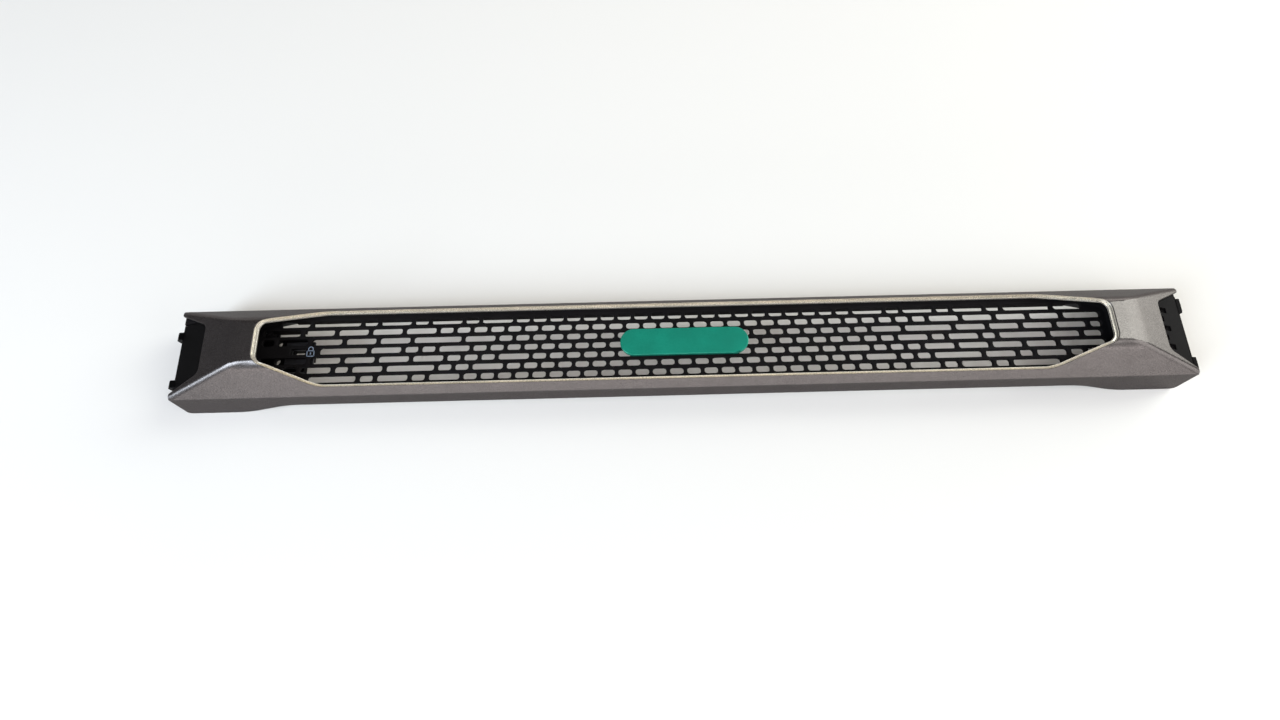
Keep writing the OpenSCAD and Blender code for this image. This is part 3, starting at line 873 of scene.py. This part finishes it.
def soft_lamp(name, place, width, height, power, color):
    """An area lamp that looks at the bezel, and isn't seen itself."""
    data = bpy.data.lights.new(name, "AREA")
    data.shape = "RECTANGLE"
    data.size = width
    data.size_y = height
    data.energy = power
    data.color = color
    lamp = bpy.data.objects.new(name, data)
    lamp.location = place
    lamp.rotation_euler = (-Vector(place)).to_track_quat("-Z", "Y").to_euler()
    lamp.visible_camera = False
    bpy.context.scene.collection.objects.link(lamp)


def pale_floor(settings):
    """A wide floor that keeps the bezel's shadow and looks near white where it is lit."""
    form = bmesh.new()
    bmesh.ops.create_grid(form, x_segments=1, y_segments=1, size=FLOOR_SIZE)
    material, nodes, links, shader = new_material("floor")
    shader.inputs["Base Color"].default_value = (*settings.floor, 1)
    shader.inputs["Roughness"].default_value = 0.9
    shader.inputs["Specular IOR Level"].default_value = 0
    rays = nodes.new("ShaderNodeLightPath")
    seen = rays.outputs["Is Camera Ray"]
    for other in ("Is Glossy Ray", "Is Transmission Ray"):
        most = nodes.new("ShaderNodeMath")
        most.operation = "MAXIMUM"
        links.new(seen, most.inputs[0])
        links.new(rays.outputs[other], most.inputs[1])
        seen = most.outputs[0]
    links.new(seen, shader.inputs["Emission Strength"])
    shader.inputs["Emission Color"].default_value = (*settings.haze, 1)
    floor = new_piece("floor", form, [material])
    floor.location.z = CAD_BOX[0][2] - FLOOR_GAP


def even_world(settings):
    """A world of one plain colour."""
    world = bpy.data.worlds.new("studio")
    world.use_nodes = True
    world.node_tree.nodes["Background"].inputs["Color"].default_value = (*settings.sky, 1)
    bpy.context.scene.world = world


def camera_at(settings):
    """The camera, above and in front of the bezel."""
    data = bpy.data.cameras.new("camera")
    data.sensor_width = 36
    data.lens = settings.lens
    data.clip_start = 0.01
    camera = bpy.data.objects.new("camera", data)
    place = Vector(settings.camera_place)
    turn = (Vector(settings.camera_aim) - place).to_track_quat("-Z", "Y").to_matrix().to_4x4()
    camera.matrix_world = (Matrix.Translation(place) @ turn
                           @ Matrix.Rotation(settings.camera_roll, 4, "Z"))
    bpy.context.scene.collection.objects.link(camera)
    bpy.context.scene.camera = camera


class BEZEL_OT_stage(bpy.types.Operator):
    """Adds the floor, the lamps, the world and the camera"""

    bl_idname = "bezel.stage"
    bl_label = "Stage"

    def execute(self, context):
        settings = context.scene.bezel_stage
        pale_floor(settings)
        even_world(settings)
        for name, place, width, height, color in LAMPS:
            soft_lamp(name + "_lamp", place, width, height, getattr(settings, name), color)
        camera_at(settings)
        context.scene.view_settings.view_transform = "Standard"
        return {"FINISHED"}


# ---------------------------------------------------------------- add-on

GROUPS = {
    "bezel_shell": ShellSettings,
    "bezel_plastic": PlasticSettings,
    "bezel_badge": BadgeSettings,
    "bezel_hardware": HardwareSettings,
    "bezel_symbol": SymbolSettings,
    "bezel_stage": StageSettings,
}
STEPS = (BEZEL_OT_shell, BEZEL_OT_grille, BEZEL_OT_brackets, BEZEL_OT_latch, BEZEL_OT_spring,
         BEZEL_OT_badge, BEZEL_OT_hardware, BEZEL_OT_symbol, BEZEL_OT_stage)


class BEZEL_PT_panel(bpy.types.Panel):
    """Lists the pieces and their settings in the sidebar"""

    bl_idname = "BEZEL_PT_panel"
    bl_label = "Server Front Bezel"
    bl_space_type = "VIEW_3D"
    bl_region_type = "UI"
    bl_category = "Bezel"

    def draw(self, context):
        for step in STEPS:
            self.layout.operator(step.bl_idname)
        for name, group in GROUPS.items():
            box = self.layout.box()
            for setting in group.__annotations__:
                box.prop(getattr(context.scene, name), setting)


def register():
    """Registers the settings, the operators and the panel."""
    for group in (*GROUPS.values(), *STEPS, BEZEL_PT_panel):
        bpy.utils.register_class(group)
    for name, group in GROUPS.items():
        setattr(bpy.types.Scene, name, PointerProperty(type=group))


def unregister():
    """Takes back what register added."""
    for name in GROUPS:
        delattr(bpy.types.Scene, name)
    for group in (*GROUPS.values(), *STEPS, BEZEL_PT_panel):
        bpy.utils.unregister_class(group)


def main():
    """Registers the add-on and builds every piece in order."""
    register()
    for step in STEPS:
        group, name = step.bl_idname.split(".")
        getattr(getattr(bpy.ops, group), name)()


if __name__ == "__main__":
    main()
